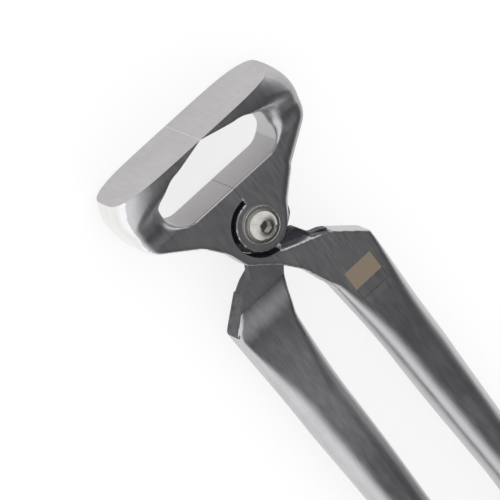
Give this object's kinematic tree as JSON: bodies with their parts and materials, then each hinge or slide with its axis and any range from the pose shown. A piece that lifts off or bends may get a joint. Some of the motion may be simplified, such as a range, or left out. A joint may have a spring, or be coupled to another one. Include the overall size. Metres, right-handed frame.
{
  "type": "farrier's hoof nippers",
  "caption": "End-cutting hoof nippers: two lapped forged halves on a screw pivot, wide closed oval jaws and long bare handles.",
  "frame": {"origin": "the pivot's axis at the lap plane", "axes": "+Y along the tool towards the jaws, +Z along the pivot towards the screw's head, +X across the tool"},
  "size_m": [0.1014, 0.355, 0.0412],
  "materials": {
    "forged_steel": "forged, ground and satin polished",
    "stainless": "turned and polished"
  },
  "bodies": {
    "left_jaw_body": {"left_jaw_half": "forged_steel", "pivot_sleeve": "stainless", "rear_washer": "stainless", "pivot_screw": "stainless", "front_washer": "stainless"},
    "right_jaw_body": {"right_jaw_half": "forged_steel"}
  },
  "joints": [
    {"name": "pivot", "type": "hinge", "parent": "left_jaw_body", "child": "right_jaw_body", "pos_m": [0, 0, 0], "axis": [0, 0, -1], "range_deg": [0, 40]}
  ]
}
